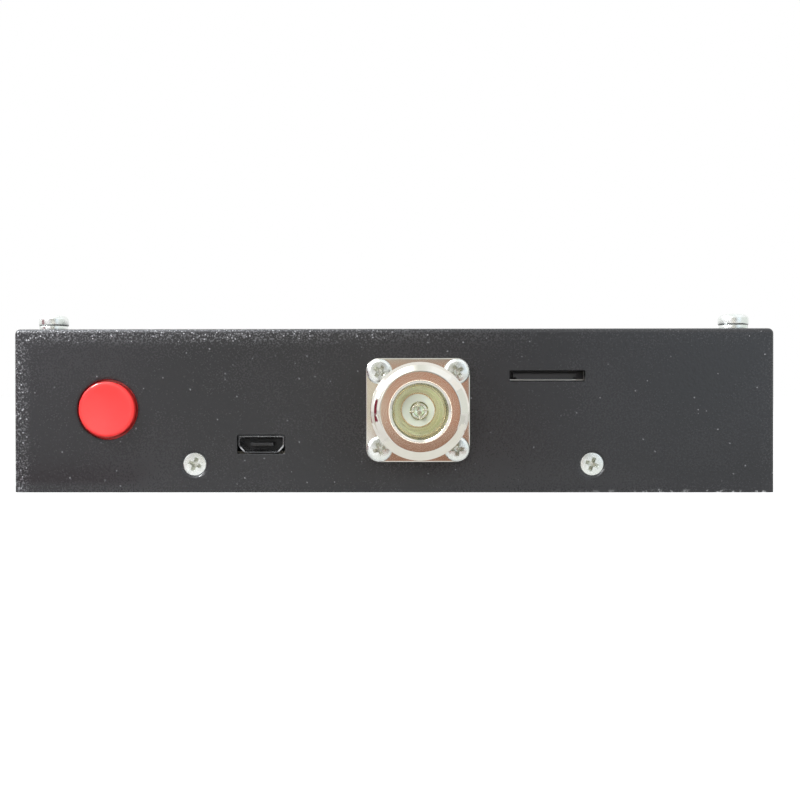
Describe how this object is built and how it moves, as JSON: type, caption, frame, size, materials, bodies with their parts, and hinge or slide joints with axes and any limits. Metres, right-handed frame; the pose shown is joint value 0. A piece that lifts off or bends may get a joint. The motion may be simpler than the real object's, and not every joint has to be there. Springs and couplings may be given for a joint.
{
  "type": "antenna analyzer",
  "caption": "Handheld antenna analyzer in a folded black metal case, with a touch screen on top, a flanged coaxial socket, a push button, a charging socket and a card slot on one edge.",
  "frame": {"origin": "middle of the rear face, which the analyzer lies on", "axes": "+X along the connector side, -Y out of the antenna connector, +Z out of the screen"},
  "size_m": [0.13, 0.1, 0.0309],
  "materials": {
    "powder_coat": "fine-texture black powder coat",
    "plated_steel": "zinc plated",
    "nickel_screw": "nickel plated, bright",
    "foam": "closed-cell foam",
    "touch_glass": "polished",
    "panel_glass": "polished, dark when off",
    "tin_sheet": "tinned",
    "white_diffuser": "satin",
    "amber_film": "smooth",
    "black_moulding": "moulded",
    "white_moulding": "moulded",
    "circuit_board": "solder resist",
    "chip_resin": "moulded resin",
    "ferrite": "fired",
    "brass": "machined",
    "nickel": "bright nickel plate",
    "gold_pins": "gold flash",
    "ptfe": "machined fluoropolymer",
    "red_cap": "glossy moulded",
    "spring_steel": "drawn wire",
    "card_resin": "moulded",
    "cell_foil": "laminated foil",
    "lead_sleeve": "extruded"
  },
  "bodies": {
    "case": {"front_shell": "powder_coat", "rear_cover": "powder_coat", "cover_nuts": "plated_steel", "cover_screws": "nickel_screw", "display_gasket": "foam", "touch_panel": "touch_glass", "display_bezel": "tin_sheet", "display_glass": "panel_glass", "backlight_panel": "white_diffuser", "display_tape": "foam", "display_ribbon": "amber_film", "ribbon_socket": "black_moulding", "main_board": "circuit_board", "main_board_chips": "chip_resin", "rf_board": "circuit_board", "rf_board_chips": "chip_resin", "power_inductor": "ferrite", "reference_oscillator": "tin_sheet", "screening_can": "tin_sheet", "stack_pins": "gold_pins", "stack_bar": "black_moulding", "stack_socket": "black_moulding", "front_screws": "nickel_screw", "front_spring_washers": "nickel_screw", "front_sleeves": "brass", "board_pillars": "brass", "rf_board_screws": "nickel_screw", "antenna_connector_body": "nickel", "connector_insulator": "ptfe", "connector_contact": "nickel", "connector_link": "tin_sheet", "connector_screws": "nickel_screw", "connector_nuts": "plated_steel", "switch_body": "black_moulding", "switch_spring": "spring_steel", "switch_board": "circuit_board", "switch_pins": "gold_pins", "switch_pin_bar": "black_moulding", "usb_socket_shell": "tin_sheet", "usb_socket_core": "black_moulding", "usb_contacts": "gold_pins", "card_socket_base": "black_moulding", "card_socket_cover": "tin_sheet", "battery_cell": "cell_foil", "battery_pad": "foam", "battery_leads": "lead_sleeve", "battery_plug": "white_moulding", "battery_socket": "white_moulding"},
    "power_button": {"button_cap": "red_cap", "switch_plunger": "white_moulding"},
    "memory_card": {"memory_card": "card_resin"}
  },
  "joints": [
    {"name": "power_button", "type": "slide", "parent": "case", "child": "power_button", "axis": [0, 1, 0], "range_m": [0, 0.0018], "stiffness_N_per_m": 600, "springref_m": -0.0012, "deforming": ["switch_spring"]},
    {"name": "memory_card", "type": "slide", "parent": "case", "child": "memory_card", "axis": [0, -1, 0], "range_m": [-0.0005, 0.014]}
  ]
}
